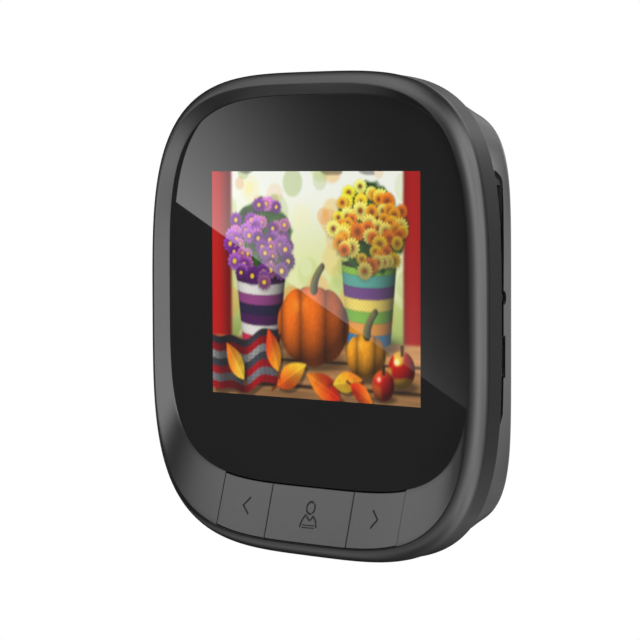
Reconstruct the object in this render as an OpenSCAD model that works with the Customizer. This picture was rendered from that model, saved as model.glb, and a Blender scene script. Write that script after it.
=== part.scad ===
// Indoor unit of a peephole door camera: a square, round-cornered monitor that
// hangs on a steel bracket over the peephole of a door.
// Frame: origin on the door's face, on the peephole axis. +Y goes into the door,
// the screen faces -Y, +X is to the right seen from the room, +Z is up.

/* [Body] */
// Width and height of the body at the rim
body_size = 91.9; // [91.6:0.1:92.6]
// Squareness of the rim outline
body_n = 3.6; // [3.5:0.05:3.7]
// Distance from the door to the front of the rim
body_depth = 18.45; // [18.3:0.05:18.7]
// How far the rounded rim reaches in from the outline
rim_w = 2.4; // [2.3:0.05:2.5]
// How deep the rounding of the rim is
rim_d = 2.75; // [2.6:0.05:2.9]
// How far round the rim's rounding goes before it breaks off at the crest
rim_turn = 58; // [50:1:70]
// Set-back of the side band behind the rim
band_in = 0.5; // [0.4:0.05:0.6]
// Squareness of the side band's outline
band_n = 3.75; // [3.65:0.05:3.8]

/* [Screen] */
// Width of the lit picture
screen_w = 57.6; // [57:0.1:58]
// Height of the lit picture
screen_h = 43.2; // [42.8:0.1:43.6]
// Height of the picture's centre above the body's centre
screen_up = 5.55; // [5.4:0.05:5.7]
// Width of the cover glass
glass_w = 83.3; // [83.1:0.1:83.5]
// Height of the cover glass
glass_h = 74.14; // [73.94:0.1:74.34]
// Height of the glass's centre above the body's centre
glass_up = 4.5; // [4.4:0.05:4.6]
// Thickness of the cover glass
glass_t = 1.1; // [1:0.05:1.1]

/* [Keys] */
// Width of the row of three keys
key_row_w = 50.2; // [49.6:0.1:50.8]
// Width of the middle key
key_mid_w = 22.6; // [22:0.1:23.2]
// Gap between neighbouring keys
key_gap = 0.25; // [0.2:0.05:0.3]
// How far a key goes in
key_travel = 0.4; // [0.3:0.05:0.4]

/* [Side ports] */
// Distance of the recess floor from the middle of the body
recess_x = 43.4; // [43.35:0.05:43.5]
// Length of the memory card slot
card_slot = 11.6; // [11.4:0.1:11.8]
// Length of the charging port's opening
usb_slot = 7.6; // [7.6:0.05:7.8]
// Diameter of the reset hole
reset_hole_d = 2.5; // [2.4:0.05:2.6]

/* [Bracket] */
// Width of the bracket plate
bracket_w = 46; // [45:0.5:48]
// Height of the bracket plate
bracket_h = 42; // [41:0.5:44]
// Thickness of the bracket's sheet
bracket_t = 1.5; // [1.4:0.05:1.5]
// Diameter of the hole for the peephole tube
tube_hole_d = 14.6; // [14.2:0.1:15]
// How far the unit is lifted to free it from the hooks
lift_travel = 4.2; // [4:0.1:4.2]

/* [Hidden] */
$fn = 48;
N = 72;                                  // points round each outline
e = 0.05;

// depths along Y
y_crest = -body_depth;                   // front of the rim
y_rim = y_crest + rim_d;                 // widest line of the rim
y_part = -11.75;                         // parting line of the two shells
y_glass = -15.84;                        // front of the glass
y_gback = y_glass + glass_t;             // back of the glass
y_ledge = -14.54;                        // ledge that carries the glass
y_lback = -13.3;                         // back of the ledge
y_tray = -11.94;                         // back of the display module
y_pcb0 = -9.0;                           // front of the board
y_pcb1 = -8.0;                           // rear of the board
y_in = -3.5;                             // inside of the back wall
y_back = -1.9;                           // outside of the back wall

rim_a = body_size / 2;
crest_a = rim_a - rim_w;
band_a = rim_a - band_in;
wall_a = band_a - 1.85;                  // inside of the front frame
gl_a = glass_w / 2;
gl_b = glass_h / 2;
gl_nb = 4.05;                            // the lower corners are squarer

key_z = -36.5;                           // height of the key switches
key_x = key_mid_w / 4 + key_row_w / 4;   // centre of a side key
usb_z = -6.4;
card_z = 18.8;
reset_y = -9.6;
reset_z = 4.25;
hook_x = 17;
hook_up_z = 5;
hook_low_z = -16;
top_boss = [20, 33];
low_boss = [29, -29.5];
pcb_posts = [[-38.3, -8], [-38.3, 20], [38.3, -16.5]];
spk = [0, -26];                          // speaker centre
mic = [-21, -31.3];                      // microphone centre

plastic = [0.16, 0.16, 0.165];

// ---------- outlines ----------
function sup_r(p, a, b, n) = pow(pow(abs(cos(p)) / a, n) + pow(abs(sin(p)) / b, n), -1 / n);
function outline(a, b, n, zc = 0, nb = 0, turn = 0) = [for (i = [0 : N - 1])
  let (p = (i + turn) * 360 / N, r = sup_r(p, a, b, (nb > 0 && sin(p) < 0) ? nb : n))
  [r * cos(p), zc + r * sin(p)]];
// the same outline as a ring at depth y; yb moves its lower part along Y
function ring(y, a, b, n, zc = 0, nb = 0, yb = 0) = [for (i = [0 : N - 1])
  let (p = i * 360 / N, q = outline(a, b, n, zc, nb)[i])
  [q[0], y + yb * pow(max(0, -sin(p)), 3), q[1]]];
function rim_ring(y, a) = ring(y, a, a, body_n);
function band_ring(y, a) = ring(y, a, a, band_n);
// ring with a slight bow along its flat sides
function shell_ring(y, a, b, n) = [for (p = ring(y, a, b, n)) let (s = 2 * p[0] * p[2] / (p[0] * p[0] + p[2] * p[2]),
  f = 1 - 0.0012 * s * s) [p[0] * f, y, p[2] * f]];
function glass_ring(y, d) = ring(y, gl_a + d, gl_b + d, body_n, glass_up, gl_nb);
function glass_line(d, turn = 0) = outline(gl_a + d, gl_b + d, body_n, glass_up, gl_nb, turn);
function rim_line(a) = outline(a, a, body_n);

module loft_ring(rings) {
  m = len(rings);
  polyhedron(points = [for (r = rings) each r],
    faces = [for (k = [0 : m - 1]) let (k1 = (k + 1) % m) for (i = [0 : N - 1]) let (j = (i + 1) % N)
      each [[k * N + i, k1 * N + j, k * N + j], [k * N + i, k1 * N + i, k1 * N + j]]], convexity = 8);
}
module loft_solid(rings) {
  m = len(rings);
  polyhedron(points = [for (r = rings) each r],
    faces = concat(
      [[for (i = [0 : N - 1]) i]],
      [[for (i = [0 : N - 1]) (m - 1) * N + N - 1 - i]],
      [for (k = [0 : m - 2]) for (i = [0 : N - 1]) let (j = (i + 1) % N)
        each [[k * N + i, (k + 1) * N + j, k * N + j], [k * N + i, (k + 1) * N + i, (k + 1) * N + j]]]),
    convexity = 8);
}
// outline in X and Z, pushed along Y from y0 to y1
module yprism(pts, y0, y1) translate([0, y1, 0]) rotate([90, 0, 0]) linear_extrude(y1 - y0) polygon(pts);
// outline in Y and Z, pushed along X from x0 to x1
module xprism(pts, x0, x1) translate([x0, 0, 0]) rotate([90, 0, 90]) linear_extrude(x1 - x0) polygon(pts);
// box between two corners
module box(x0, x1, y0, y1, z0, z1) translate([x0, y0, z0]) cube([x1 - x0, y1 - y0, z1 - z0]);
// round bar along Y
module ybar(x, z, r, y0, y1) translate([x, y0, z]) rotate([-90, 0, 0]) cylinder(r = r, h = y1 - y0);
// round bar along X
module xbar(y, z, r, x0, x1) translate([x0, y, z]) rotate([0, 90, 0]) cylinder(r = r, h = x1 - x0);

// ---------- shells ----------
// sloping dish between rim crest and glass, as a thick slab
module dish_slab() loft_ring([
  rim_ring(y_crest, crest_a), glass_ring(y_glass, 0.1), glass_ring(-13.6, 0.1), rim_ring(-13.6, crest_a)]);

module key_zone(x0, x1, d_top, a_bot, y0, y1, turn = 0) difference() {
  intersection() {
    box(x0, x1, y0, y1, -46, -20);
    yprism(rim_line(a_bot), y0, y1);
  }
  yprism(glass_line(d_top, turn), y0 - 1, y1 + 1);
}

module front_frame() color(plastic) difference() {
  union() {
    difference() {
      loft_ring(concat(
        [band_ring(y_part, band_a), band_ring(y_rim + 0.42, band_a), rim_ring(y_rim + 0.36, rim_a - 0.06)],
        [for (k = [0 : 4]) let (t = rim_turn * k / 4)
          rim_ring(y_rim - rim_d * sin(t) / sin(rim_turn), rim_a - rim_w * (1 - cos(t)) / (1 - cos(rim_turn)))],
        [glass_ring(y_glass, 0.1), glass_ring(y_ledge, 0.1), glass_ring(y_ledge, -1.6),
         glass_ring(y_lback, -1.6), glass_ring(y_lback, 1.2),
         ring(y_lback - 0.3, wall_a, wall_a, body_n, 0, 0, -2.3), rim_ring(y_part, wall_a)]));
      key_zone(-key_row_w / 2, key_row_w / 2, -0.4, crest_a - 0.14, y_crest - 1, -12.5, 0.5);
    }
    for (s = [-1, 1]) {
      ybar(s * top_boss[0], top_boss[1], 1.9, -14.4, -7.7);
      box(s * top_boss[0] - 0.8, s * top_boss[0] + 0.8, -14.4, -12.9, top_boss[1], 40);
      ybar(s * low_boss[0], low_boss[1], 2.2, -13.9, -7.7);
    }
    for (p = pcb_posts) ybar(p[0], p[1], 2.0, -13.9, y_pcb0);
  }
  for (s = [-1, 1]) {
    ybar(s * top_boss[0], top_boss[1], 1.02, -12.9, -7);
    ybar(s * low_boss[0], low_boss[1], 1.02, -12.9, -7);
  }
  for (p = pcb_posts) ybar(p[0], p[1], 0.77, -12.4, -8);
}

module screen_glass() color([0.02, 0.02, 0.022]) yprism(glass_line(0), y_glass, y_gback);

module glass_adhesive() color([0.05, 0.05, 0.05]) difference() {
  yprism(glass_line(-0.1), y_gback, y_ledge);
  yprism(glass_line(-1.5), y_gback - 1, y_ledge + 1);
}

// ---------- display ----------
module lcd_polariser() color([0.55, 0.6, 0.65])
  box(-screen_w / 2 - 0.7, screen_w / 2 + 0.7, -14.7, -14.5, screen_up - screen_h / 2 - 0.7, screen_up + screen_h / 2 + 0.7);

module lcd_panel() color([0.2, 0.22, 0.25])
  box(-34.6, 34.6, -14.5, -13.34, screen_up - 25, screen_up + 25);

module backlight_unit() color([0.9, 0.9, 0.88])
  box(-34, 34, -13.34, -12.24, screen_up - 24.6, screen_up + 24.6);

module lcd_tray() color([0.7, 0.71, 0.72]) union() {
  box(-34.95, 34.95, -12.24, y_tray, screen_up - 25, screen_up + 25.35);
  for (s = [-1, 1]) box(s > 0 ? 34.65 : -34.95, s > 0 ? 34.95 : -34.65, -13.9, -12, screen_up - 25, screen_up + 25.35);
  box(-34.95, 34.95, -13.9, -12, screen_up + 25.05, screen_up + 25.35);
}

module lcd_flex() color([0.75, 0.5, 0.15]) xprism([[-13.9, screen_up - 25], [-13.9, -21.8], [-9.9, -21.8],
  [-9.9, -23], [-9.75, -23], [-9.75, -21.65], [-13.75, -21.65], [-13.75, screen_up - 25]], -9, 9);

module lcd_connector() color([0.85, 0.83, 0.76]) box(-10, 10, -10.4, y_pcb0, -26, -23);

// ---------- electronics ----------
module main_pcb() color([0.05, 0.3, 0.16]) difference() {
  intersection() {
    yprism(outline(40.2, 39.2, 4.5), y_pcb0, y_pcb1);
    box(-42, 42, y_pcb0, y_pcb1, -41, 30.6);
  }
  for (s = [-1, 1]) ybar(s * low_boss[0], low_boss[1], 2.8, -10, -7);
  for (p = pcb_posts) ybar(p[0], p[1], 0.9, -10, -7);
  box(35.3, 45, -10, -7, reset_z - 2.6, reset_z + 2.6);
}

module processor_chip() color([0.06, 0.06, 0.06]) box(-33, -21, y_pcb1, -6.8, -14, -2);
module memory_chip() color([0.07, 0.07, 0.07]) box(-32, -22, y_pcb1, -7, 1, 9);
module power_inductor() color([0.3, 0.3, 0.32]) difference() {
  box(24, 30, y_pcb1, -5.6, -2, 4);
  ybar(27, 1, 1.6, -6, -5);
}

module tact_switches() color([0.12, 0.12, 0.12]) for (x = [-key_x, 0, key_x]) difference() {
  box(x - 3, x + 3, -11.7, y_pcb0, key_z - 2.3, key_z + 3);
  ybar(x, key_z, 1.8, -13, -11);
}

// One key: cap cut from the dish, hollow behind, with a stem and a lip that
// reaches under the glass ledge
module key_cap(x0, x1, xc) {
  union() {
    difference() {
      intersection() {
        dish_slab();
        key_zone(x0, x1, 0.3, crest_a - 0.34, y_crest - 1, -13);
      }
      box(x0 + 1.2, x1 - 1.2, -14.9, -13, -41.4, -34.4);
    }
    ybar(xc, key_z, 1.6, -15.6, -13.3);
    box(x0 + 0.4, x1 - 0.4, -13.65, -12.45, -34.4, -33.3);
    box(x0 + 0.4, x1 - 0.4, -13.1, -12.45, -33.5, -31.6);
  }
}
module key_left() color(plastic) key_cap(-key_row_w / 2 + key_gap / 2, -key_mid_w / 2 - key_gap / 2, -key_x);
module key_center() color(plastic) key_cap(-key_mid_w / 2 + key_gap / 2, key_mid_w / 2 - key_gap / 2, 0);
module key_right() color(plastic) key_cap(key_mid_w / 2 + key_gap / 2, key_row_w / 2 - key_gap / 2, key_x);

module plunger(x) ybar(x, key_z, 1.6, -13.3, -11.6);
module plunger_left() color([0.8, 0.78, 0.7]) plunger(-key_x);
module plunger_center() color([0.8, 0.78, 0.7]) plunger(0);
module plunger_right() color([0.8, 0.78, 0.7]) plunger(key_x);

module tf_card_socket() color([0.72, 0.73, 0.75]) difference() {
  box(26, 39.6, -11, y_pcb0, card_z - 7, card_z + 7);
  box(27, 41, -10.7, -9.7, card_z - 5.7, card_z + 5.7);
}

module micro_usb_port() color([0.75, 0.76, 0.78]) difference() {
  box(36.9, 42.3, -11.65, y_pcb0, usb_z - 3.65, usb_z + 3.65);
  box(37.6, 43, -11.35, -9.3, usb_z - 3.35, usb_z + 3.35);
}

module usb_tongue() color([0.05, 0.05, 0.05]) box(37.6, 41.6, -10.7, -10, usb_z - 1.9, usb_z + 1.9);

module reset_switch() color([0.1, 0.1, 0.1]) difference() {
  box(35.4, 38.9, -10.9, -8.3, reset_z - 2.4, reset_z + 2.4);
  xbar(reset_y, reset_z, 1.15, 37.4, 40);
}

module reset_plunger() color([0.2, 0.2, 0.2]) xbar(reset_y, reset_z, 1.05, 38, 42.7);

// ---------- power, sound ----------
module battery() color([0.75, 0.76, 0.78]) union() {
  box(-33, 18.6, -7.6, -4, 12, 29.4);
  box(18.6, 20, -7.2, -4.4, 12.6, 28.8);
}
module battery_tape() color([0.9, 0.88, 0.8]) box(-30, 15, y_pcb1, -7.6, 14, 27);

function unit3(v) = v / norm(v);
function tube_ring(path, k, r, s) = let (
  t = unit3(path[min(k + 1, len(path) - 1)] - path[max(k - 1, 0)]),
  b = unit3(cross(t, [0, 1, 0])), n = cross(b, t))
  [for (i = [0 : s - 1]) path[k] + r * (cos(i * 360 / s) * b + sin(i * 360 / s) * n)];
module lead(path, r = 0.5, s = 8) {
  m = len(path);
  polyhedron(points = [for (k = [0 : m - 1]) each tube_ring(path, k, r, s)],
    faces = concat([[for (i = [0 : s - 1]) i]], [[for (i = [0 : s - 1]) (m - 1) * s + s - 1 - i]],
      [for (k = [0 : m - 2]) for (i = [0 : s - 1]) let (j = (i + 1) % s)
        each [[k * s + i, (k + 1) * s + j, k * s + j], [k * s + i, (k + 1) * s + i, (k + 1) * s + j]]]));
}
module battery_leads() {
  color([0.7, 0.08, 0.06]) lead([[20, -6, 26], [23, -6, 26], [25.6, -6.2, 25.4], [27.6, -6.4, 23.8], [28.6, -6.5, 21.6], [28.8, -6.6, 19]]);
  color([0.06, 0.06, 0.06]) lead([[20, -6, 22], [22, -6, 22], [24, -6.2, 21.8], [25.2, -6.4, 21.2], [25.9, -6.5, 20.2], [26, -6.6, 19]]);
}
module battery_connector() color([0.9, 0.88, 0.82]) box(24.4, 30.4, y_pcb1, -5.4, 13.4, 19);

module speaker_basket() color([0.2, 0.2, 0.21]) difference() {
  ybar(spk[0], spk[1], 9, -7.6, -4.1);
  ybar(spk[0], spk[1], 8, -5.4, -3);
}
module speaker_cone() color([0.35, 0.33, 0.3]) translate([spk[0], -5.4, spk[1]]) rotate([-90, 0, 0])
  rotate_extrude() polygon([[0, 0], [2.6, 0], [7.8, 0.5], [7.8, 0.8], [3.4, 0.45], [2.4, 0.9], [0, 1.1]]);
module speaker_gasket() color([0.08, 0.08, 0.08]) difference() {
  ybar(spk[0], spk[1], 8.9, -4.1, y_in);
  ybar(spk[0], spk[1], 7.6, -5, -3);
}
module speaker_leads() {
  color([0.7, 0.08, 0.06]) lead([[-9.2, -6.4, -25], [-10.6, -6.4, -24.6], [-11.8, -6.6, -23.6], [-12.4, -7, -22.4], [-12.6, -7.4, -21.6], [-12.6, -7.6, -21]], 0.4);
  color([0.06, 0.06, 0.06]) lead([[-9.2, -6.4, -27], [-11, -6.4, -26.8], [-12.6, -6.6, -26], [-13.6, -7, -24.8], [-14, -7.4, -23.8], [-14, -7.6, -23.2]], 0.4);
}
module microphone() color([0.7, 0.7, 0.68]) difference() {
  ybar(mic[0], mic[1], 3, y_pcb1, -5.8);
  ybar(mic[0], mic[1], 0.8, -6.4, -5);
}
module mic_boot() color([0.1, 0.1, 0.1]) difference() {
  ybar(mic[0], mic[1], 3.2, -5.8, y_in);
  ybar(mic[0], mic[1], 1.2, -6, -3);
}

// ---------- camera that looks back through the peephole ----------
module camera_board() color([0.05, 0.3, 0.16]) box(-4.5, 4.5, y_pcb1, -7.4, -4.5, 4.5);
module sensor_chip() color([0.15, 0.15, 0.2]) box(-2, 2, -7.4, -6.9, -1.6, 1.6);
module camera_holder() color([0.08, 0.08, 0.08]) difference() {
  box(-4, 4, -7.4, -5.2, -4, 4);
  ybar(0, 0, 3, -8, -4);
}
module lens_barrel() color([0.1, 0.1, 0.1]) difference() {
  union() {
    ybar(0, 0, 2.95, -6.7, -4.4);
    ybar(0, 0, 3.5, -5.1, -3.9);
  }
  ybar(0, 0, 1.4, -7, -3);
  ybar(0, 0, 2.2, -5.6, -3);
}
module camera_lens() color([0.3, 0.35, 0.5, 0.6]) intersection() {
  ybar(0, 0, 2.18, -5.6, -4);
  translate([0, -7.1, 0]) sphere(r = 3.1, $fn = 64);
}
module camera_window() color([0.4, 0.45, 0.5, 0.5]) ybar(0, 0, 5.9, -2.85, -1.95);
module window_tape() color([0.05, 0.05, 0.05]) difference() {
  ybar(0, 0, 5.8, -2.95, -2.85);
  ybar(0, 0, 4.6, -4, -2);
}

// ---------- fasteners ----------
module screw(x, z, head_r, head_h, r, y_seat, y_tip) difference() {
  union() {
    ybar(x, z, head_r, y_seat, y_seat + head_h);
    ybar(x, z, r, y_tip, y_seat + e);
  }
  for (a = [0, 90]) translate([x, y_seat + head_h, z]) rotate([0, a, 0])
    box(-head_r * 0.6, head_r * 0.6, -head_h * 0.5, 1, -head_r * 0.14, head_r * 0.14);
}
module pcb_screws() color([0.6, 0.6, 0.62]) for (p = pcb_posts) screw(p[0], p[1], 1.5, 0.8, 0.75, y_pcb1, -12.2);
module housing_screws() color([0.5, 0.5, 0.52]) for (s = [-1, 1]) {
  screw(s * top_boss[0], top_boss[1], 1.9, 1.1, 1, -3.3, -12.6);
  screw(s * low_boss[0], low_boss[1], 1.9, 1.1, 1, -3.3, -12.6);
}

module rear_housing() color(plastic) difference() {
  union() {
    loft_solid([
      shell_ring(y_back, 35.8, 35.6, 5), shell_ring(y_back - 0.2, 36.6, 36.2, 5.1), shell_ring(-2.9, 38.3, 37.4, 5.4),
      shell_ring(-4.2, 40.3, 38.7, 5.7), shell_ring(-5.4, 41.7, 39.55, 5.9), band_ring(y_part, band_a - 0.35),
      rim_ring(y_part, wall_a - 0.3), rim_ring(y_part - 0.85, wall_a - 0.3), rim_ring(y_part - 0.85, wall_a - 1.2),
      rim_ring(y_part + 0.25, wall_a - 1.2), shell_ring(-5.7, 40, 38.1, 5.7), shell_ring(-4.4, 38.6, 36.9, 5.4),
      shell_ring(y_in, 36.4, 35.5, 5.1)]);
    intersection() {
      box(40.6, 46, y_part + e, -8.5, -20.5, 27.9);
      yprism(outline(43, 43, 3.7), y_part, -8);
    }
    for (s = [-1, 1]) {
      ybar(s * top_boss[0], top_boss[1], 3.2, -7.65, y_in + 0.6);
      ybar(s * low_boss[0], low_boss[1], 3.2, -7.65, y_in + 0.6);
    }
  }
  // side recess with its card slot, charging port and reset hole
  intersection() {
    xprism([[y_part - 0.1, 27.35], [-10.6, 27.2], [-9.9, 26.85], [-9, 26.4], [-8.42, 25.6], [-8.33, 25], [-8.6, 23.2], [-8.85, 21],
      [-9.4, 16.5], [-9.75, 10], [-9.9, 5], [-9.9, -16.9], [y_part, -19.5], [y_part - 0.1, -19.5]], 38, 50);
    yprism([[50, -21], [50, 30], [recess_x - 3.05, 30], [recess_x - 1.65, 26], [recess_x - 0.85, 21.5], [recess_x - 0.45, 15],
      [recess_x, 6], [recess_x, -8], [recess_x - 0.7, -21]], y_part - 1, -6);
  }
  box(38, 50, -10.95, -9.5, card_z - card_slot / 2, card_z + card_slot / 2);
  xprism([[-10.95, card_z - card_slot / 2], [-9.7, card_z - card_slot / 2], [-9.5, 16.5], [-8.95, 21],
    [-8.6, card_z + card_slot / 2], [-10.95, card_z + card_slot / 2]], 41, 50);
  box(38, 50, y_part + e, -8.9, usb_z - usb_slot / 2, usb_z + usb_slot / 2);
  xbar(reset_y, reset_z, reset_hole_d / 2, 39, 50);
  // camera window seat and view
  ybar(0, 0, 6, -2.95, 0);
  ybar(0, 0, 4.6, -5, 0);
  // slots for the bracket's hooks
  for (x = [-hook_x, hook_x]) for (z = [hook_up_z, hook_low_z])
    box(x - 2.7, x + 2.7, -6, 0, z - lift_travel - 0.4, z + bracket_t + 0.15);
  // screw seats
  for (s = [-1, 1]) for (p = [top_boss, low_boss]) {
    ybar(s * p[0], p[1], 2.1, -3.3, 0);
    ybar(s * p[0], p[1], 1.15, -9, 0);
  }
  // sound holes
  ybar(spk[0], spk[1], 0.6, -5, 0);
  for (a = [0 : 60 : 300]) ybar(spk[0] + 2.1 * cos(a), spk[1] + 2.1 * sin(a), 0.6, -5, 0);
  for (a = [0 : 30 : 330]) ybar(spk[0] + 4.2 * cos(a), spk[1] + 4.2 * sin(a), 0.6, -5, 0);
  ybar(mic[0], mic[1], 0.6, -5, 0);
}

module hook(x, z) union() {
  box(x - 2.1, x + 2.1, -5, -bracket_t + e, z, z + bracket_t);
  box(x - 2.1, x + 2.1, -5.1, -3.75, z, z + 5);
}
module door_bracket() color([0.72, 0.73, 0.74]) difference() {
  union() {
    box(-bracket_w / 2 + 5, bracket_w / 2 - 5, -bracket_t, 0, -bracket_h / 2, bracket_h / 2);
    box(-bracket_w / 2, bracket_w / 2, -bracket_t, 0, -bracket_h / 2 + 5, bracket_h / 2 - 5);
    for (sx = [-1, 1]) for (sz = [-1, 1]) ybar(sx * (bracket_w / 2 - 5), sz * (bracket_h / 2 - 5), 5, -bracket_t, 0);
    for (x = [-hook_x, hook_x]) for (z = [hook_up_z, hook_low_z]) hook(x, z);
  }
  ybar(0, 0, tube_hole_d / 2, -3, 1);
  // windows that the hooks are bent out of
  for (x = [-hook_x, hook_x]) for (z = [hook_up_z, hook_low_z])
    box(x - 2.4, x + 2.4, -bracket_t - 0.2, 1, z + bracket_t, z + bracket_t + 7.6);
}

front_frame();
screen_glass();
glass_adhesive();
lcd_polariser();
lcd_panel();
backlight_unit();
lcd_tray();
lcd_flex();
lcd_connector();
main_pcb();
processor_chip();
memory_chip();
power_inductor();
tact_switches();
key_left();
key_center();
key_right();
plunger_left();
plunger_center();
plunger_right();
tf_card_socket();
micro_usb_port();
usb_tongue();
reset_switch();
reset_plunger();
battery();
battery_tape();
battery_leads();
battery_connector();
speaker_basket();
speaker_cone();
speaker_gasket();
speaker_leads();
microphone();
mic_boot();
camera_board();
sensor_chip();
camera_holder();
lens_barrel();
camera_lens();
camera_window();
window_tape();
pcb_screws();
housing_screws();
rear_housing();
door_bracket();
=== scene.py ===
import math

import bmesh
import bpy
import numpy as np
from mathutils import Matrix, Vector


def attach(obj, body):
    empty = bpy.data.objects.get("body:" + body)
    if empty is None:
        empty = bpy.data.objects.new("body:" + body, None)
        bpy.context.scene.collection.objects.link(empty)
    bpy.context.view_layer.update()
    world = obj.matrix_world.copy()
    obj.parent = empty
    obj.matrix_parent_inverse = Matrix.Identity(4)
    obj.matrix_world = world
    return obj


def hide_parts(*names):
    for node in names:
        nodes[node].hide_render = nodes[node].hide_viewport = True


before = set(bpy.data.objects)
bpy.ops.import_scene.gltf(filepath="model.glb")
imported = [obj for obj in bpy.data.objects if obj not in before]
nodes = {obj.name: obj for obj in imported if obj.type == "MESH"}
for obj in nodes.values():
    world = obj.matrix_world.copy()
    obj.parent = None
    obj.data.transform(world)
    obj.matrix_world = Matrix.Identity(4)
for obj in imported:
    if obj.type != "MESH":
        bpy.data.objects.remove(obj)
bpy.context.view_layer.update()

scene = bpy.context.scene
MM = 0.001

# ------------------------------------------------------------------ camera
TH, PH0, RO = np.radians([46.878, 2.788, -0.177])
CAM = np.array([436.67, -422.94, 28.09])
back = np.array([math.sin(TH) * math.cos(PH0), -math.cos(TH) * math.cos(PH0), math.sin(PH0)])
right0 = np.array([math.cos(TH), math.sin(TH), 0.0])
up0 = np.cross(back, right0)
right = math.cos(RO) * right0 + math.sin(RO) * up0
up = -math.sin(RO) * right0 + math.cos(RO) * up0
FPX = 3157.3

cam_data = bpy.data.cameras.new("camera")
cam_data.sensor_width = 36.0
cam_data.lens = FPX / 640.0 * 36.0
cam_data.clip_start, cam_data.clip_end = 0.02, 60.0
cam = bpy.data.objects.new("camera", cam_data)
scene.collection.objects.link(cam)
pose = Matrix.Identity(4)
for row in range(3):
    pose[row][0], pose[row][1], pose[row][2] = right[row], up[row], back[row]
    pose[row][3] = CAM[row] * MM
cam.matrix_world = pose
scene.camera = cam


def pixel_ray(px, py):
    d = right * (px - 320) / FPX - up * (py - 320) / FPX - back
    return d / np.linalg.norm(d)


# ------------------------------------------------------------------ outlines (mm)
N = 288
PHI = np.arange(N) * 2 * math.pi / N
CO, SI = np.cos(PHI), np.sin(PHI)
BODY_N, BAND_N = 3.6, 3.75
RIM_A, CREST_A, BAND_A, WALL_A = 45.95, 43.55, 45.45, 43.6
Y_RIM, Y_CREST, Y_PART, Y_GLASS = -15.70, -18.45, -11.75, -15.84
GL_A, GL_B, GL_Z, GL_NB = 41.65, 37.07, 4.5, 4.05
GAP = 0.07


def ring(y, a, b=None, n=BODY_N, zc=0.0, nb=None, yb=0.0):
    b = a if b is None else b
    nn = np.where(SI < 0, n if nb is None else nb, n)
    r = ((np.abs(CO) / a) ** nn + (np.abs(SI) / b) ** nn) ** (-1.0 / nn)
    return np.stack([r * CO, y + yb * np.maximum(0, -SI) ** 3, zc + r * SI], 1)


def glass_ring(y, d):
    return ring(y, GL_A + d, GL_B + d, BODY_N, GL_Z, GL_NB)


def z_glass(x, d=0.0):
    """Lower edge of the glass outline at x."""
    x = np.minimum(np.abs(x), GL_A + d - 1e-6)
    return GL_Z - (GL_B + d) * (1 - (x / (GL_A + d)) ** GL_NB) ** (1 / GL_NB)


def z_rim(x, a):
    """Lower edge of a rim outline at x."""
    x = np.minimum(np.abs(x), a - 1e-6)
    return -a * (1 - (x / a) ** BODY_N) ** (1 / BODY_N)


def chin_y(x, z):
    """Depth of the sloping chin."""
    zg, zc = z_glass(x, 0.1), z_rim(x, CREST_A)
    v = (z - zg) / (zc - zg)
    return Y_GLASS + (Y_CREST - Y_GLASS) * v


# ------------------------------------------------------------------ mesh helpers
def make(name, verts, faces, materials=()):
    me = bpy.data.meshes.new(name)
    me.from_pydata([tuple(map(float, v)) for v in verts], [], [tuple(map(int, f)) for f in faces])
    me.update()
    ob = bpy.data.objects.new(name, me)
    scene.collection.objects.link(ob)
    for m in materials:
        me.materials.append(m)
    bm = bmesh.new()
    bm.from_mesh(me)
    bmesh.ops.recalc_face_normals(bm, faces=bm.faces)
    bm.to_mesh(me)
    bm.free()
    return ob


def loft(name, rings, closed, materials=()):
    """Quads between rings; closed joins the last ring to the first, otherwise both ends are capped."""
    m, n = len(rings), len(rings[0])
    verts = np.concatenate(rings)
    faces = []
    for k in range(m if closed else m - 1):
        k1 = (k + 1) % m
        for i in range(n):
            j = (i + 1) % n
            faces.append((k * n + i, k * n + j, k1 * n + j, k1 * n + i))
    if not closed:
        faces.append(tuple(range(n)))
        faces.append(tuple((m - 1) * n + n - 1 - i for i in range(n)))
    return make(name, verts, faces, materials)


def prism(name, front, rear, materials=()):
    """Closed solid between two outlines of the same length."""
    n = len(front)
    faces = [tuple(range(n)), tuple(n + n - 1 - i for i in range(n))]
    faces += [(i, (i + 1) % n, n + (i + 1) % n, n + i) for i in range(n)]
    return make(name, np.concatenate([front, rear]), faces, materials)


def box_mesh(name, x0, x1, y0, y1, z0, z1):
    f = [(x0, y0, z0), (x1, y0, z0), (x1, y0, z1), (x0, y0, z1)]
    r = [(x, y1, z) for x, y, z in f]
    return prism(name, np.array(f), np.array(r))


def lathe(name, profile, axis, centre, seg=48):
    """Closed solid of revolution. profile is (radius, position along the axis); both ends are capped."""
    t = np.arange(seg) * 2 * math.pi / seg
    rings = []
    for r, s in profile:
        c, d = r * np.cos(t), r * np.sin(t)
        if axis == "Y":
            rings.append(np.stack([centre[0] + c, np.full(seg, s), centre[1] + d], 1))
        else:
            rings.append(np.stack([np.full(seg, s), centre[0] + c, centre[1] + d], 1))
    return loft(name, rings, False)


def join(name, obs):
    verts, faces, base = [], [], 0
    for o in obs:
        verts += [tuple(v.co) for v in o.data.vertices]
        faces += [tuple(base + i for i in p.vertices) for p in o.data.polygons]
        base = len(verts)
        bpy.data.objects.remove(o)
    return make(name, verts, faces)


def boolean(ob, other, operation="DIFFERENCE", transfer=False):
    mod = ob.modifiers.new("cut", "BOOLEAN")
    mod.operation, mod.object, mod.solver = operation, other, "EXACT"
    if transfer:
        mod.material_mode = "TRANSFER"
    dg = bpy.context.evaluated_depsgraph_get()
    me = bpy.data.meshes.new_from_object(ob.evaluated_get(dg))
    ob.modifiers.clear()
    old, ob.data = ob.data, me
    bpy.data.meshes.remove(old)
    bpy.data.objects.remove(other)
    return ob


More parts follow.
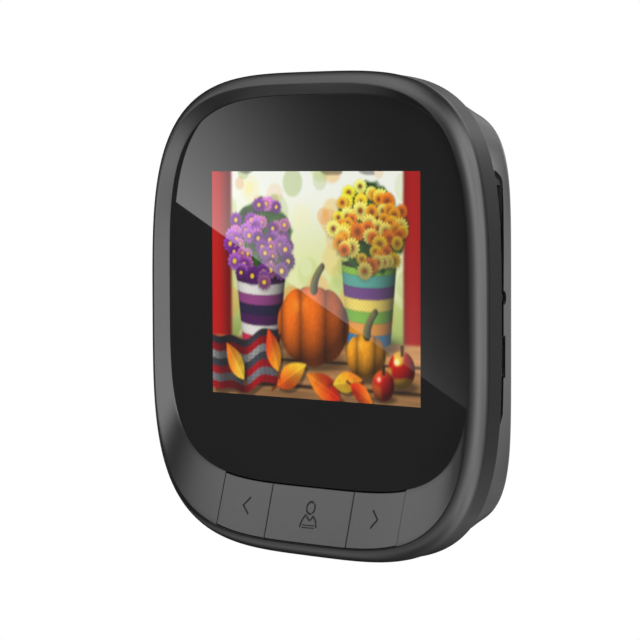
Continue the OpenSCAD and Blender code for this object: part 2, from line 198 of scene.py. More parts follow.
def settle(ob, angle=32.0):
    """Millimetres to metres, smooth faces with sharp edges kept."""
    me = ob.data
    bm = bmesh.new()
    bm.from_mesh(me)
    bmesh.ops.remove_doubles(bm, verts=bm.verts, dist=2e-4)
    bmesh.ops.dissolve_degenerate(bm, edges=bm.edges, dist=1e-4)
    bm.to_mesh(me)
    bm.free()
    me.transform(Matrix.Scale(MM, 4))
    me.shade_smooth()
    me.set_sharp_from_angle(angle=math.radians(angle))
    me.update()
    return ob


# ------------------------------------------------------------------ materials
def new_material(name):
    m = bpy.data.materials.new(name)
    m.use_nodes = True
    nt = m.node_tree
    nt.nodes.clear()
    out = nt.nodes.new("ShaderNodeOutputMaterial")
    bs = nt.nodes.new("ShaderNodeBsdfPrincipled")
    nt.links.new(bs.outputs["BSDF"], out.inputs["Surface"])
    tc = nt.nodes.new("ShaderNodeTexCoord")
    return m, nt, bs, tc.outputs["Object"]


def noise(nt, vec, scale, detail=2.0, rough=0.5, stretch=None):
    if stretch is not None:
        mp = nt.nodes.new("ShaderNodeMapping")
        mp.inputs["Scale"].default_value = stretch
        nt.links.new(vec, mp.inputs["Vector"])
        vec = mp.outputs["Vector"]
    n = nt.nodes.new("ShaderNodeTexNoise")
    n.inputs["Scale"].default_value = scale
    n.inputs["Detail"].default_value = detail
    n.inputs["Roughness"].default_value = rough
    nt.links.new(vec, n.inputs["Vector"])
    return n.outputs["Fac"]


def span(nt, fac, lo, hi, f0=0.3, f1=0.7):
    r = nt.nodes.new("ShaderNodeMapRange")
    r.inputs["From Min"].default_value, r.inputs["From Max"].default_value = f0, f1
    r.inputs["To Min"].default_value, r.inputs["To Max"].default_value = lo, hi
    nt.links.new(fac, r.inputs["Value"])
    return r.outputs["Result"]


def ramp(nt, fac, stops):
    r = nt.nodes.new("ShaderNodeValToRGB")
    el = r.color_ramp.elements
    while len(el) < len(stops):
        el.new(0.5)
    for e, (p, c) in zip(el, stops):
        e.position, e.color = p, (*c, 1.0)
    nt.links.new(fac, r.inputs["Fac"])
    return r.outputs["Color"]


def bump(nt, bs, height, strength, distance):
    b = nt.nodes.new("ShaderNodeBump")
    b.inputs["Strength"].default_value = strength
    b.inputs["Distance"].default_value = distance
    nt.links.new(height, b.inputs["Height"])
    nt.links.new(b.outputs["Normal"], bs.inputs["Normal"])


def shade(c, k):
    return tuple(min(1.0, v * k) for v in c)


def surface(name, colour, rough, grain=5000.0, vary=0.08, rough_vary=0.05, bump_s=0.25, bump_d=1e-5,
            metal=0.0, stretch=None, mottle=120.0, spec=0.5, coat=0.0):
    """Moulded or sheet surface: broad mottling of the colour, fine grain in the bump and the gloss."""
    m, nt, bs, vec = new_material(name)
    fine = noise(nt, vec, grain, 3.0, 0.6, stretch)
    broad = noise(nt, vec, mottle, 4.0, 0.55)
    nt.links.new(ramp(nt, broad, [(0.3, shade(colour, 1 - vary)), (0.7, shade(colour, 1 + vary))]), bs.inputs["Base Color"])
    nt.links.new(span(nt, fine, rough - rough_vary, rough + rough_vary), bs.inputs["Roughness"])
    bs.inputs["Metallic"].default_value = metal
    bs.inputs["Specular IOR Level"].default_value = spec
    bs.inputs["Coat Weight"].default_value = coat
    bump(nt, bs, fine, bump_s, bump_d)
    return m


def shell_plastic(name, colour, rough):
    """Dark satin plastic: spark-eroded grain, slight flow mottling, edges rubbed a little paler."""
    m, nt, bs, vec = new_material(name)
    fine = noise(nt, vec, 5200.0, 3.0, 0.65)
    broad = noise(nt, vec, 70.0, 4.0, 0.5)
    base = ramp(nt, broad, [(0.3, shade(colour, 0.95)), (0.7, shade(colour, 1.05))])
    geo = nt.nodes.new("ShaderNodeNewGeometry")
    edge = span(nt, geo.outputs["Pointiness"], 0.0, 0.10, 0.515, 0.56)
    mix = nt.nodes.new("ShaderNodeMix")
    mix.data_type = "RGBA"
    nt.links.new(edge, mix.inputs["Factor"])
    nt.links.new(base, mix.inputs["A"])
    mix.inputs["B"].default_value = (*shade(colour, 2.2), 1.0)
    nt.links.new(mix.outputs["Result"], bs.inputs["Base Color"])
    nt.links.new(span(nt, fine, rough - 0.03, rough + 0.03), bs.inputs["Roughness"])
    bump(nt, bs, fine, 0.08, 6e-6)
    return m


PLASTIC = (0.0060, 0.0060, 0.0062)
mat_shell = shell_plastic("shell_plastic", PLASTIC, 0.235)
mat_key = shell_plastic("key_plastic", PLASTIC, 0.235)
# black matte finish for the card-slot pocket: painted shade that darkens the recess
mat_pocket_shade = surface("pocket_painted_shade", (0.0030, 0.0030, 0.0032), 0.80, 5200.0, 0.2, 0.06)
mat_ink = surface("icon_ink", (0.0035, 0.0035, 0.0038), 0.78, 6000.0, 0.2)


def glass_material(name):
    m, nt, bs, vec = new_material(name)
    film = noise(nt, vec, 55.0, 5.0, 0.6)
    dust = noise(nt, vec, 2600.0, 2.0, 0.5)
    nt.links.new(ramp(nt, film, [(0.3, (0.0086, 0.0086, 0.0089)), (0.7, (0.0102, 0.0102, 0.0105))]), bs.inputs["Base Color"])
    nt.links.new(span(nt, film, 0.004, 0.012), bs.inputs["Roughness"])
    bs.inputs["IOR"].default_value = 1.5
    bump(nt, bs, dust, 0.006, 2e-7)
    return m


mat_glass = glass_material("cover_glass")


def picture_material(name):
    m, nt, bs, vec = new_material(name)
    at = nt.nodes.new("ShaderNodeAttribute")
    at.attribute_type, at.attribute_name = "GEOMETRY", "picture"
    # the cells of the display show as a very fine grid in the brightness
    wave = noise(nt, vec, 3800.0, 1.0, 0.5)
    cell = span(nt, wave, 0.96, 1.0)
    mul = nt.nodes.new("ShaderNodeMix")
    mul.data_type, mul.blend_type = "RGBA", "MULTIPLY"
    mul.inputs["Factor"].default_value = 1.0
    nt.links.new(at.outputs["Color"], mul.inputs["A"])
    nt.links.new(cell, mul.inputs["B"])
    nt.links.new(mul.outputs["Result"], bs.inputs["Emission Color"])
    bs.inputs["Emission Strength"].default_value = 0.86
    film = noise(nt, vec, 55.0, 5.0, 0.6)
    nt.links.new(ramp(nt, film, [(0.3, (0.0086, 0.0086, 0.0089)), (0.7, (0.0102, 0.0102, 0.0105))]), bs.inputs["Base Color"])
    nt.links.new(span(nt, film, 0.004, 0.012), bs.inputs["Roughness"])
    bs.inputs["IOR"].default_value = 1.5
    return m


mat_picture = picture_material("screen_picture")

# ------------------------------------------------------------------ front frame
def front_frame():
    rs = []
    # rounded rear edge of the band
    for t in np.radians([0, 30, 60, 90]):
        rs.append(ring(Y_PART - 0.2 * (1 - math.cos(t)), BAND_A - 0.2 * (1 - math.sin(t)), n=BAND_N))
    for y in (-12.0, -12.6, -13.4, -14.2, -14.9, -15.20):
        rs.append(ring(y, BAND_A, n=BAND_N))
    # undercut and lip of the rim
    band, lip = ring(-15.27, BAND_A, n=BAND_N), ring(-15.36, RIM_A - 0.045)
    for k, y in ((0.06, -15.27), (0.3, -15.31), (0.8, -15.335), (1.0, -15.36)):
        r = band + (lip - band) * k
        r[:, 1] = y
        rs.append(r)
    rs.append(ring(-15.45, RIM_A - 0.01))
    turn = math.radians(58.0)
    arc_ring = lambda t: ring(Y_RIM - 2.75 * math.sin(t) / math.sin(turn), RIM_A - 2.4 * (1 - math.cos(t)) / (1 - math.cos(turn)))
    for t in np.linspace(0, turn * 0.965, 26):
        rs.append(arc_ring(t))
    # small rounding over the crest, then the straight dish
    last, crest = rs[-1], ring(Y_CREST, CREST_A)
    edge = glass_ring(Y_GLASS, GAP)
    d = edge - crest
    start = crest + d * (0.16 / np.linalg.norm(d, axis=1))[:, None]
    for t in (0.2, 0.4, 0.6, 0.8):
        rs.append((1 - t) ** 2 * last + 2 * t * (1 - t) * crest + t * t * start)
    for t in np.linspace(0, 1, 11):
        rs.append(start + (edge - start) * t * 0.985)
    rs.append(start + (edge - start) * 0.997 + np.array([0, 0.01, 0]))
    rs.append(glass_ring(Y_GLASS + 0.04, GAP))
    rs += [glass_ring(-14.54, GAP), glass_ring(-14.54, -1.6), glass_ring(-13.3, -1.6), glass_ring(-13.3, 1.2),
           ring(-13.6, WALL_A, yb=-2.3), ring(Y_PART, WALL_A)]
    ob = loft("front_frame_shell", rs, True, [mat_shell])
    # window that the keys sit in
    xs = np.linspace(-25.1, 25.1, 121)
    top = np.stack([xs, np.zeros_like(xs), z_glass(xs, -0.4)], 1)
    bot = np.stack([xs[::-1], np.zeros_like(xs), z_rim(xs[::-1], CREST_A - 0.14)], 1)
    line = np.concatenate([top, bot])
    front, rear = line.copy(), line.copy()
    front[:, 1], rear[:, 1] = -20.0, -12.5
    boolean(ob, prism("window", front, rear))
    # screw bosses and board posts behind the ledge
    posts = []
    for s in (-1, 1):
        posts.append(lathe("post", [(1.9, -14.2), (1.9, -7.7), (1.02, -7.7), (1.02, -12.9)], "Y", (20.0 * s, 33.0), 32))
        posts.append(lathe("post", [(2.2, -13.7), (2.2, -7.7), (1.02, -7.7), (1.02, -12.9)], "Y", (29.0 * s, -29.5), 32))
    for x, z in ((-38.3, -8.0), (-38.3, 20.0), (38.3, -16.5)):
        posts.append(lathe("post", [(2.0, -13.7), (2.0, -9.0), (0.77, -9.0), (0.77, -12.4)], "Y", (x, z), 32))
    boolean(ob, join("posts", posts), "UNION")
    return settle(ob)


# ------------------------------------------------------------------ keys
def stroke(path, width, depth, seg=10):
    """Closed cutter along a line on the chin, with round ends."""
    p = np.array(path, float)
    h = width / 2
    t = np.gradient(p, axis=0)
    t /= np.linalg.norm(t, axis=1)[:, None]
    nrm = np.stack([-t[:, 1], t[:, 0]], 1)
    left, rightside = p + nrm * h, p - nrm * h
    a0 = math.atan2(nrm[-1, 1], nrm[-1, 0])
    cap_end = [p[-1] + h * np.array([math.cos(a0 - k * math.pi / seg), math.sin(a0 - k * math.pi / seg)]) for k in range(1, seg)]
    a1 = math.atan2(-nrm[0, 1], -nrm[0, 0])
    cap_start = [p[0] + h * np.array([math.cos(a1 - k * math.pi / seg), math.sin(a1 - k * math.pi / seg)]) for k in range(1, seg)]
    line = np.concatenate([left, np.array(cap_end), rightside[::-1], np.array(cap_start)])
    y = chin_y(line[:, 0], line[:, 1])
    front = np.stack([line[:, 0], y - 0.8, line[:, 1]], 1)
    rear = np.stack([line[:, 0], y + depth, line[:, 1]], 1)
    return prism("stroke", front, rear, [mat_ink])


def bend(points, seg=14):
    """Smooth line through a few points."""
    p = np.array(points, float)
    q = np.concatenate([[2 * p[0] - p[1]], p, [2 * p[-1] - p[-2]]])
    out = []
    for i in range(1, len(q) - 2):
        for t in np.arange(seg) / seg:
            a, b, c, d = q[i - 1], q[i], q[i + 1], q[i + 2]
            out.append(0.5 * (2 * b + (c - a) * t + (2 * a - 5 * b + 4 * c - d) * t * t + (3 * b - a - 3 * c + d) * t ** 3))
    out.append(p[-1])
    return np.array(out)


def arc(cx, cz, r, a0, a1, seg=32):
    t = np.radians(np.linspace(a0, a1, seg))
    return np.stack([cx + r * np.cos(t), cz + r * np.sin(t)], 1)


def chevron(x_end, x_tip, z0, z1, z2):
    """The two bars of an arrow head, meeting at the tip."""
    bars = []
    for z in (z0, z2):
        t = np.linspace(0, 1, 8)
        bars.append((np.stack([x_end + (x_tip - x_end) * t, z + (z1 - z) * t], 1), W, 0.16))
    return bars


def key_cap(name, x0, x1, xc, icons):
    """Cap that continues the chin, edges rounded, hollow behind, with a stem and a lip under the ledge."""
    R = 0.11
    nu, nv = int((x1 - x0) * 7), 56
    # rows and columns bunch up at the edges for the rounding
    def bunch(n, length):
        e = np.array([0, 0.02, 0.05, 0.09, 0.13, 0.17, 0.24]) / length
        return np.concatenate([e, np.linspace(0.4 / length, 1 - 0.4 / length, n), 1 - e[::-1]])
    u = bunch(nu, x1 - x0)
    v = bunch(nv, 10.3)
    X = np.repeat((x0 + (x1 - x0) * u)[:, None], len(v), 1)
    zt, zb = z_glass(X, 0.3), z_rim(X, CREST_A - 0.26)
    Z = zt + (zb - zt) * v[None, :]
    Y = chin_y(X, Z)
    dist = np.minimum(np.minimum(X - x0, x1 - X), np.minimum(zt - Z, Z - zb))
    k = np.clip(R - dist, 0, R)
    Y = Y + R - np.sqrt(np.maximum(R * R - k * k, 0))
    a, b = X.shape
    verts = [(X[i, j], Y[i, j], Z[i, j]) for i in range(a) for j in range(b)]
    faces = [(i * b + j, (i + 1) * b + j, (i + 1) * b + j + 1, i * b + j + 1) for i in range(a - 1) for j in range(b - 1)]
    loop = [i * b for i in range(a)] + [(a - 1) * b + j for j in range(1, b)] + [i * b + b - 1 for i in range(a - 2, -1, -1)] \
        + [j for j in range(b - 2, 0, -1)]
    n0 = len(verts)
    verts += [(verts[i][0], -13.6, verts[i][2]) for i in loop]
    m = len(loop)
    faces += [(loop[i], loop[(i + 1) % m], n0 + (i + 1) % m, n0 + i) for i in range(m)]
    faces.append(tuple(n0 + i for i in range(m)))
    ob = make(name, verts, faces, [mat_key, mat_ink])
    boolean(ob, box_mesh("hollow", x0 + 1.2, x1 - 1.2, -14.9, -13.0, -41.4, -34.4))
    inner = [lathe("stem", [(1.6, -15.3), (1.6, -13.3)], "Y", (xc, -36.5), 32)]
    boolean(ob, join("stem", inner), "UNION")
    lip = [(-13.65, -34.4), (-12.45, -34.4), (-12.45, -31.6), (-13.1, -31.6), (-13.1, -33.3), (-13.65, -33.3)]
    f = np.array([(x0 + 0.4, y, z) for y, z in lip])
    r = np.array([(x1 - 0.4, y, z) for y, z in lip])
    boolean(ob, prism("lip", f, r), "UNION")
    for path, w, depth in icons:
        boolean(ob, stroke(path, w, depth), "DIFFERENCE", True)
    return settle(ob, 40.0)


W = 0.44
PX, PZ = 0.28, 0.0
icons_left = chevron(-16.95, -18.55, -35.98, -37.47, -38.96)
icons_right = chevron(17.25, 18.72, -35.88, -37.37, -38.96)
icons_mid = [
    (arc(PX + 0.02, -36.62, 1.12, 62, 282), W, 0.16),
    (arc(PX + 0.02, -36.62, 1.12, -48, 36), W, 0.16),
    (bend([(PX - 1.02, -38.05), (PX - 1.75, -38.85), (PX - 2.22, -40.2)]), W, 0.16),
    (bend([(PX + 1.05, -38.15), (PX + 1.82, -38.85), (PX + 2.24, -40.05)]), W, 0.16),
    (bend([(PX - 0.62, -38.36), (PX - 0.2, -38.74), (PX + 0.10, -38.92)]), W * 0.9, 0.16),
    (bend([(PX + 0.42, -38.86), (PX + 0.62, -38.62), (PX + 0.78, -38.34)]), W * 0.9, 0.16),
    (np.stack([np.linspace(PX - 1.60, PX + 1.62, 12), np.linspace(-39.92, -39.86, 12)], 1), W * 0.5, 0.12),
    (np.stack([np.linspace(PX - 1.62, PX + 1.66, 12), np.linspace(-40.38, -40.30, 12)], 1), W * 0.5, 0.12),
]

# ------------------------------------------------------------------ rear housing
def rear_housing():
    ctrl = [(-1.9, 35.8, 35.6, 5.0), (-2.1, 36.6, 36.2, 5.1), (-2.9, 38.3, 37.4, 5.4), (-4.2, 40.3, 38.7, 5.7), (-5.4, 41.7, 39.55, 5.9)]
    pts = [ring(y, a, b, n) for y, a, b, n in ctrl]
    part = ring(Y_PART, BAND_A - 0.35, n=BAND_N)
    flank = lambda t: pts[-1] + (part - pts[-1]) * t
    chain = [2 * pts[0] - pts[1]] + pts + [flank(0.22)]
    rs = []
    for i in range(1, len(chain) - 2):
        for t in np.arange(5) / 5.0:
            a, b, c, d = chain[i - 1], chain[i], chain[i + 1], chain[i + 2]
            rs.append(0.5 * (2 * b + (c - a) * t + (2 * a - 5 * b + 4 * c - d) * t * t + (3 * b - a - 3 * c + d) * t ** 3))
    for t in np.linspace(0, 1, 12)[:-1]:
        rs.append(flank(t))
    rs.append(flank(0.985))
    rs.append(ring(Y_PART, BAND_A - 0.45, n=BAND_N))
    rs += [ring(Y_PART, WALL_A - 0.3), ring(Y_PART - 0.85, WALL_A - 0.3), ring(Y_PART - 0.85, WALL_A - 1.2), ring(Y_PART + 0.25, WALL_A - 1.2),
           ring(-5.7, 40.0, 38.1, 5.7), ring(-4.4, 38.6, 36.9, 5.4), ring(-3.5, 36.4, 35.5, 5.1)]
    rs[0][:, 1] = np.maximum(rs[0][:, 1], -1.9)
    ob = loft("rear_housing_shell", rs, False, [mat_shell])
    # block that the side ports open through, and the screw bosses
    zs = np.linspace(-20.5, 27.0, 61)
    xo = 43.0 * (1 - (np.abs(zs) / 43.0) ** 3.7) ** (1 / 3.7)
    line = np.concatenate([np.stack([xo, 0 * zs, zs], 1), np.stack([np.full(2, 40.6), np.zeros(2), np.array([27.0, -20.5])], 1)])
    f, r = line.copy(), line.copy()
    f[:, 1], r[:, 1] = -11.7, -8.5
    boolean(ob, prism("block", f, r), "UNION")
    bosses = [lathe("boss", [(3.2, -7.65), (3.2, -2.9)], "Y", p, 40) for p in ((20, 33), (-20, 33), (29, -29.5), (-29, -29.5))]
    boolean(ob, join("bosses", bosses), "UNION")
    cuts = [box_mesh("card", 38.0, 41.5, -10.9, -9.75, 13.1, 24.5),
            box_mesh("usb", 38.0, 50.0, -11.66, -8.9, -10.2, -2.6),
            lathe("reset", [(1.25, 39.0), (1.25, 50.0)], "X", (-9.6, 4.25), 48),
            lathe("camera", [(4.6, -5.0), (4.6, -2.95), (6.0, -2.95), (6.0, -2.2), (6.35, -1.8), (6.35, 0.0)], "Y", (0.0, 0.0), 96)]
    for x in (-17, 17):
        for z in (5, -16):
            cuts.append(box_mesh("slot", x - 2.7, x + 2.7, -6.0, 0.0, z - 4.6, z + 1.65))
    for p in ((20, 33), (-20, 33), (29, -29.5), (-29, -29.5)):
        cuts.append(lathe("seat", [(1.15, -9.0), (1.15, -3.3), (2.1, -3.3), (2.1, -2.06), (2.26, -1.86), (2.26, 0.0)], "Y", p, 40))
    for n, r in ((1, 0.0), (6, 2.1), (12, 4.2)):
        for k in range(n):
            a = 2 * math.pi * k / n
            cuts.append(lathe("hole", [(0.6, -5.0), (0.6, -2.0), (0.72, -1.85), (0.72, 0.0)], "Y", (r * math.cos(a), -26.0 + r * math.sin(a)), 24))
    cuts.append(lathe("mic", [(0.6, -5.0), (0.6, -2.0), (0.72, -1.85), (0.72, 0.0)], "Y", (-21.0, -31.3), 24))
    boolean(ob, join("cuts", cuts))
    # side recess
    rear_z = [-19.5, -16.9, 5.0, 10.0, 16.5, 21.0, 23.2, 25.0, 25.35, 25.65, 26.05, 26.4, 26.85, 27.2, 27.35]
    rear_y = [-11.74, -9.9, -9.9, -9.75, -9.4, -8.85, -8.6, -8.33, -8.34, -8.42, -8.68, -9.05, -9.9, -10.6, -11.7]
    zs = np.unique(np.concatenate([np.linspace(-19.5, 27.3, 65), rear_z]))
    floor_x = np.interp(zs, [-21.0, -14.5, -8.0, -1.0, 6.0, 10.5, 15.0, 18.3, 21.5, 23.8, 26.0, 28.0],
                        [42.70, 43.13, 43.38, 43.42, 43.36, 43.20, 42.95, 42.78, 42.53, 42.2, 41.75, 41.1])
    edge_y = np.interp(zs, rear_z, rear_y)
    boolean(ob, loft("recess", [np.array([(x, -11.85, z), (x, y, z), (50.0, y, z), (50.0, -11.85, z)])
                                for x, y, z in zip(floor_x, edge_y, zs)], False))
    # pocket around the card slot, black inside: a black matte finish painted in as shade of the recess
    sec = [(-10.95, 13.0), (-9.7, 13.0), (-9.5, 16.5), (-8.95, 21.0), (-8.6, 24.6), (-10.95, 24.6)]
    boolean(ob, prism("pocket", np.array([(41.0, y, z) for y, z in sec]), np.array([(50.0, y, z) for y, z in sec]), [mat_pocket_shade]),
            transfer=True)
    return settle(ob)


# ------------------------------------------------------------------ cover glass and lit picture
SW, SH, SZ = 57.6, 43.2, 5.55
NX, NZ = 288, 216


def cover_glass():
    rs = [glass_ring(-14.74, 0.0), glass_ring(-15.2, 0.0), glass_ring(Y_GLASS + 0.05, 0.0)]
    for t in np.radians([25, 50, 75]):
        rs.append(glass_ring(Y_GLASS + 0.04 - 0.04 * math.sin(t), -0.04 * (1 - math.cos(t))))
    rs += [glass_ring(Y_GLASS, -0.045), glass_ring(Y_GLASS, -0.06), glass_ring(Y_GLASS, -1.2)]
    ob = loft("cover_glass_plate", rs, False, [mat_glass])
    boolean(ob, box_mesh("pocket", -SW / 2, SW / 2, -17.0, Y_GLASS + 0.30, SZ - SH / 2, SZ + SH / 2))
    return settle(ob)


def smooth(e0, e1, x):
    t = np.clip((x - e0) / (e1 - e0), 0, 1)
    return t * t * (3 - 2 * t)


class Painter:
    """Draws the still life that the display shows: an autumn doorstep. Units: 4 wide, 3 high, origin bottom left."""

    def __init__(self, w, h):
        self.rs = np.random.RandomState(11)
        self.x, self.y = np.meshgrid((np.arange(w) + 0.5) / w * 4, (np.arange(h) + 0.5) / h * 3)
        self.img = np.zeros((h, w, 3))
        self.px = 4.0 / w

    def over(self, mask, colour):
        mask = np.clip(mask, 0, 1)[..., None]
        self.img = self.img * (1 - mask) + np.asarray(colour) * mask

    def dim(self, mask, k):
        self.img = self.img * (1 - np.clip(mask, 0, 1)[..., None] * (1 - k))

    def field(self, sx, sy, seed):
        """Soft random field, smooth between the points of a coarse grid."""
        g = np.random.RandomState(seed).rand(64, 64)
        u, v = (self.x * sx) % 63, (self.y * sy) % 63
        i, j = u.astype(int), v.astype(int)
        a, b = u - i, v - j
        a, b = a * a * (3 - 2 * a), b * b * (3 - 2 * b)
        i1, j1 = (i + 1) % 64, (j + 1) % 64
        return (g[j, i] * (1 - a) + g[j, i1] * a) * (1 - b) + (g[j1, i] * (1 - a) + g[j1, i1] * a) * b

    def backdrop(self):
        x, y = self.x, self.y
        sky, mid, low = np.array([0.96, 0.97, 0.93]), np.array([0.86, 0.88, 0.62]), np.array([0.50, 0.58, 0.26])
        t = np.clip(y / 3, 0, 1)[..., None]
        self.img = np.where(t > 0.55, mid + (sky - mid) * smooth(0.55, 0.95, t), low + (mid - low) * smooth(0.15, 0.55, t))
        tones = [(0.98, 0.93, 0.55), (0.99, 0.99, 0.95), (0.72, 0.80, 0.42), (0.95, 0.76, 0.36), (0.60, 0.70, 0.34), (0.93, 0.60, 0.28)]
        for _ in range(90):
            cx, cy, r = self.rs.rand() * 4.2 - 0.1, 0.7 + self.rs.rand() * 2.4, 0.07 + 0.17 * self.rs.rand()
            d = np.hypot(x - cx, y - cy) / r
            self.over((1 - smooth(0.86, 1.08, d)) * (0.16 + 0.30 * self.rs.rand()), tones[self.rs.randint(len(tones))])
        # painted posts at both sides, out of focus
        for cx, hw, c in ((0.10, 0.30, (0.74, 0.09, 0.07)), (3.95, 0.26, (0.66, 0.08, 0.07))):
            u = (x - cx) / hw
            body = (1 - smooth(0.82, 1.12, np.abs(u)))
            lit = 0.62 + 0.42 * np.clip(1 - (u + 0.25) ** 2, 0, 1)
            self.over(body, np.asarray(c) * lit[..., None])

    def step(self):
        x, y = self.x, self.y
        top = 0.78
        grain = self.field(1.2, 26, 3) * 0.6 + self.field(3.0, 60, 4) * 0.4
        tone = np.array([0.78, 0.57, 0.36]) * (0.80 + 0.34 * grain)[..., None]
        tone = tone * (0.78 + 0.30 * smooth(0.0, top, y))[..., None]
        self.over(1 - smooth(top - 0.02, top + 0.03, y), tone)
        for yy, w in ((0.50, 0.012), (0.16, 0.016)):
            self.dim((1 - smooth(w, w * 2.2, np.abs(y - yy))), 0.42)

    def shadow(self, cx, cy, rx, ry, k=0.55):
        d = np.hypot((self.x - cx) / rx, (self.y - cy) / ry)
        self.dim(1 - smooth(0.55, 1.15, d), k)

    def pot(self, cx, y0, y1, w0, w1, stripes, lean=0.07):
        x, y = self.x, self.y
        v = np.clip((y - y0) / (y1 - y0), 0, 1)
        hw = w0 + (w1 - w0) * v
        u = (x - cx) / hw
        curve = lean * (1 - np.sqrt(np.clip(1 - u * u, 0, 1)))
        inside = (1 - smooth(1 - 2 * self.px / 0.5, 1.0, np.abs(u))) * smooth(y0 - 0.01, y0 + 0.01, y - curve * 1.2) * (1 - smooth(y1 - 0.01, y1 + 0.01, y - curve))
        vv = np.clip((y - curve - y0) / (y1 - y0), 0, 0.999)
        knit = 0.90 + 0.10 * np.sin(u * 46 + 2.6 * np.sin(vv * 120))
        band = (vv * len(stripes)).astype(int)
        col = np.asarray(stripes)[band]
        edge = np.abs(vv * len(stripes) - np.round(vv * len(stripes)))
        light = 0.40 + 0.66 * np.clip(np.cos(np.arcsin(np.clip(u, -1, 1)) + 0.45), 0, 1) ** 0.9
        light = light * knit * (0.86 + 0.14 * smooth(0.0, 0.10, edge))
        self.over(inside, np.clip(col * light[..., None], 0, 1))
        rim = np.hypot(u, (y - y1 - 0.0) / (lean * 0.9))
        self.over((1 - smooth(0.93, 1.0, rim)), (0.16, 0.11, 0.08))

    def bloom(self, cx, cy, r, petals, colour, core, turn, flat=0.8):
        x, y = self.x - cx, (self.y - cy) / flat
        d, a = np.hypot(x, y), np.arctan2(y, x) + turn
        edge = r * (0.66 + 0.34 * np.abs(np.cos(a * petals / 2)) ** 0.6)
        m = 1 - smooth(edge - 1.6 * self.px, edge, d)
        lit = 0.66 + 0.44 * smooth(0.05, 0.9, d / r) + 0.14 * (y / r)
        self.over(m, np.clip(np.asarray(colour) * lit[..., None], 0, 1))
        self.over(1 - smooth(0.22 * r, 0.30 * r, d), core)

    def mound(self, cx, cy, rx, ry, count, sizes, petals, colours, core, seed):
        rs = np.random.RandomState(seed)
        x, y = (self.x - cx) / rx, (self.y - cy) / ry
        leaf = self.field(9, 9, seed)
        self.over((1 - smooth(0.9, 1.0, np.hypot(x, y) + 0.22 * (leaf - 0.5))), np.array([0.16, 0.30, 0.09]) * (0.6 + 0.9 * leaf)[..., None])
        spots = []
        for _ in range(count):
            t, r = rs.rand() * 2 * math.pi, math.sqrt(rs.rand()) * 0.95
            spots.append((cx + rx * r * math.cos(t), cy + ry * r * math.sin(t)))
        for sx, sy in sorted(spots, key=lambda s: -s[1]):
            c = np.asarray(colours[rs.randint(len(colours))])
            k = 0.66 + 0.44 * ((sy - cy) / ry * 0.5 + 0.5) - 0.16 * ((sx - cx) / rx)
            s = sizes[0] + (sizes[1] - sizes[0]) * rs.rand()
            self.dim((1 - smooth(0.5, 1.25, np.hypot(self.x - sx, (self.y - sy + 0.02) / 0.8) / s)) * 0.6, 0.55)
            self.bloom(sx, sy, s, petals, np.clip(c * k, 0, 1), core, rs.rand() * 6.28, 0.72 + 0.2 * rs.rand())

    def pumpkin(self, cx, cy, rx, ry, ribs, colour):
        u, v = (self.x - cx) / rx, (self.y - cy) / ry
        th = np.arcsin(np.clip(u, -1, 1))
        lobe = np.abs(np.cos(th * ribs / 2.0)) ** 0.7
        top = 1.0 - 0.10 * (1 - lobe) - 0.10 * np.exp(-(u / 0.22) ** 2) * (v > 0)
        d = np.sqrt(u * u + (v / top) ** 2)
        m = 1 - smooth(1 - 3 * self.px / rx, 1.0, d)
        nz = np.sqrt(np.clip(1 - np.minimum(d, 1) ** 2, 0, 1))
        light = 0.30 + 0.55 * np.clip(-0.42 * u + 0.52 * v + 0.72 * nz, 0, 1.2)
        light = light * (0.58 + 0.42 * lobe)
        c = np.asarray(colour) * light[..., None] * 1.28
        sheen = np.exp(-(((u + 0.36) / 0.16) ** 2 + ((v - 0.44) / 0.20) ** 2)) * lobe
        c = c + sheen[..., None] * np.array([0.30, 0.26, 0.18])
        speck = self.field(40, 40, 21)
        self.over(m, np.clip(c * (0.94 + 0.12 * speck)[..., None], 0, 1))
        # stalk
        for k in range(16):
            t = k / 15.0
            sx, sy = cx + 0.02 + 0.16 * t * t, cy + ry * 0.84 + 0.30 * t
            r = 0.085 - 0.03 * t
            dd = np.hypot(self.x - sx, self.y - sy) / r
            lit = 0.62 + 0.5 * np.clip(-(self.x - sx) / r, -0.6, 1)
            self.over(1 - smooth(0.8, 1.0, dd), np.clip(np.array([0.46, 0.44, 0.20]) * lit[..., None], 0, 1))

    def ball(self, cx, cy, r, c0, c1, seed):
        u, v = (self.x - cx) / r, (self.y - cy) / r
        d = np.hypot(u, v)
        m = 1 - smooth(1 - 2 * self.px / r, 1.0, d)
        nz = np.sqrt(np.clip(1 - np.minimum(d, 1) ** 2, 0, 1))
        light = 0.34 + 0.72 * np.clip(-0.45 * u + 0.5 * v + 0.62 * nz, 0, 1.1)
        blend = smooth(0.35, 0.65, self.field(5, 7, seed))[..., None]
        c = (np.asarray(c0) * (1 - blend) + np.asarray(c1) * blend) * light[..., None]
        c = c + (np.exp(-(((u + 0.36) / 0.17) ** 2 + ((v - 0.38) / 0.15) ** 2)) * 0.7)[..., None]
        self.over(m, np.clip(c, 0, 1))
        self.over((1 - smooth(0.02, 0.04, np.abs(self.x - cx - 0.3 * (self.y - cy - r) ** 2 - 0.01))) * (np.abs(self.y - cy - r * 0.98) < 0.07), (0.28, 0.18, 0.08))

